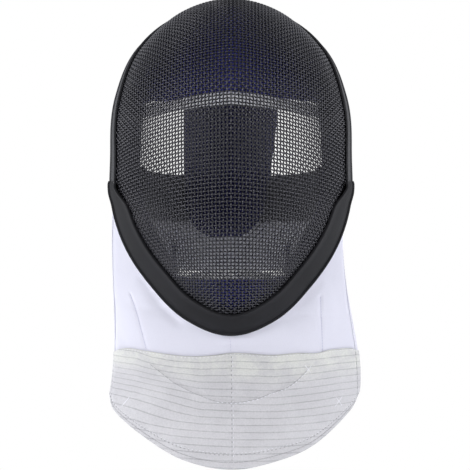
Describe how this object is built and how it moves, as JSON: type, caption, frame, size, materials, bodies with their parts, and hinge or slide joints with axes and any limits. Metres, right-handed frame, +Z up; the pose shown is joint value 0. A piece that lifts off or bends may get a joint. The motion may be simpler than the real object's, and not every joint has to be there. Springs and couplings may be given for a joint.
{
  "type": "fencing mask",
  "caption": "Fencing mask with a domed wire face, bound edge, padded liner, rear tongue and straps, and a white bib with a grey conductive apron.",
  "frame": {"origin": "the point under the crown of the liner where the wearer's head carries the mask", "axes": "+X to the wearer's left, -Y out through the face, +Z up"},
  "size_m": [0.2254, 0.2299, 0.4113],
  "materials": {
    "enamelled_wire": "dark grey enamelled woven wire, satin",
    "charcoal_rubber": "moulded rubber edging, matt",
    "navy_padding": "navy brushed cloth over foam",
    "white_cloth": "white woven protective cloth",
    "black_elastic": "black woven elastic",
    "grey_elastic": "light grey woven elastic",
    "grey_lame": "grey metallic conductive cloth, soft sheen"
  },
  "bodies": {
    "root": {"wire_basket": "enamelled_wire", "crown_binding": "charcoal_rubber", "chin_binding": "charcoal_rubber", "forehead_pad": "navy_padding", "side_pad_right": "navy_padding", "side_pad_left": "navy_padding", "chin_pad": "navy_padding", "forehead_trim": "white_cloth", "chin_trim": "white_cloth", "tongue": "white_cloth", "tongue_pad": "navy_padding", "back_strap": "black_elastic", "lower_strap": "grey_elastic", "strap_tab_right": "navy_padding", "strap_tab_left": "navy_padding", "bib": "white_cloth", "lame_apron": "grey_lame"}
  },
  "joints": []
}
